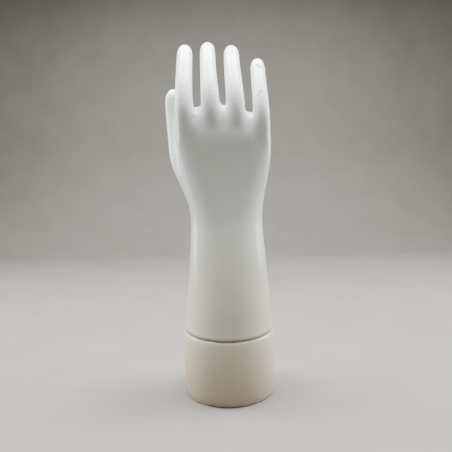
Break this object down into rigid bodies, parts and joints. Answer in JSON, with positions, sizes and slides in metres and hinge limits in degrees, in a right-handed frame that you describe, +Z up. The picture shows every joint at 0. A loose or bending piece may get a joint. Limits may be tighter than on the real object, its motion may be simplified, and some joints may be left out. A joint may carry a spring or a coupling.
{
  "type": "glove mould",
  "caption": "Glazed porcelain glove mould shaped as a right hand and forearm, held on a round porcelain foot by a sprung draw bolt and wing nut.",
  "frame": {"origin": "bottom centre of the bounding box, on the surface the mould stands on; the base's own axis is 6.9 mm towards +X of it", "axes": "+Z up along the forearm to the fingertips, back of the hand towards -Y, thumb side towards -X"},
  "size_m": [0.1088, 0.095, 0.3606],
  "materials": {
    "glazed_porcelain_hand": "soft satin glaze, cool white",
    "glazed_porcelain_base": "soft satin glaze, slightly warmer white",
    "grey_rubber": "matt",
    "black_rubber": "matt",
    "steel": "zinc plated, dull",
    "spring_steel": "drawn wire, oiled",
    "brass": "cast, tarnished"
  },
  "bodies": {
    "base": {"base_cup": "glazed_porcelain_base", "seam_gasket": "grey_rubber", "seal_washer": "black_rubber"},
    "hand": {"hand_form": "glazed_porcelain_hand", "bridge_bar": "steel", "draw_bolt": "steel", "upper_spring_seat": "steel", "clamp_spring": "spring_steel"},
    "seat": {"lower_spring_seat": "steel"},
    "nut": {"wing_nut": "brass"}
  },
  "joints": [
    {"name": "hand_turn", "type": "hinge", "parent": "base", "child": "hand", "pos_m": [0.0069, 0, 0.0658], "axis": [0, 0, 1], "continuous": true},
    {"name": "nut_travel", "type": "slide", "parent": "hand", "child": "seat", "axis": [0, 0, -1], "range_m": [0, 0.006], "deforming": ["clamp_spring"]},
    {"name": "nut_turn", "type": "hinge", "parent": "seat", "child": "nut", "pos_m": [0.0069, 0, 0.02], "axis": [0, 0, -1], "range_deg": [0, 1440]}
  ],
  "couplings": [
    {"joint": "nut_travel", "follows": "nut_turn", "m_per_rad": 0.0002387}
  ]
}
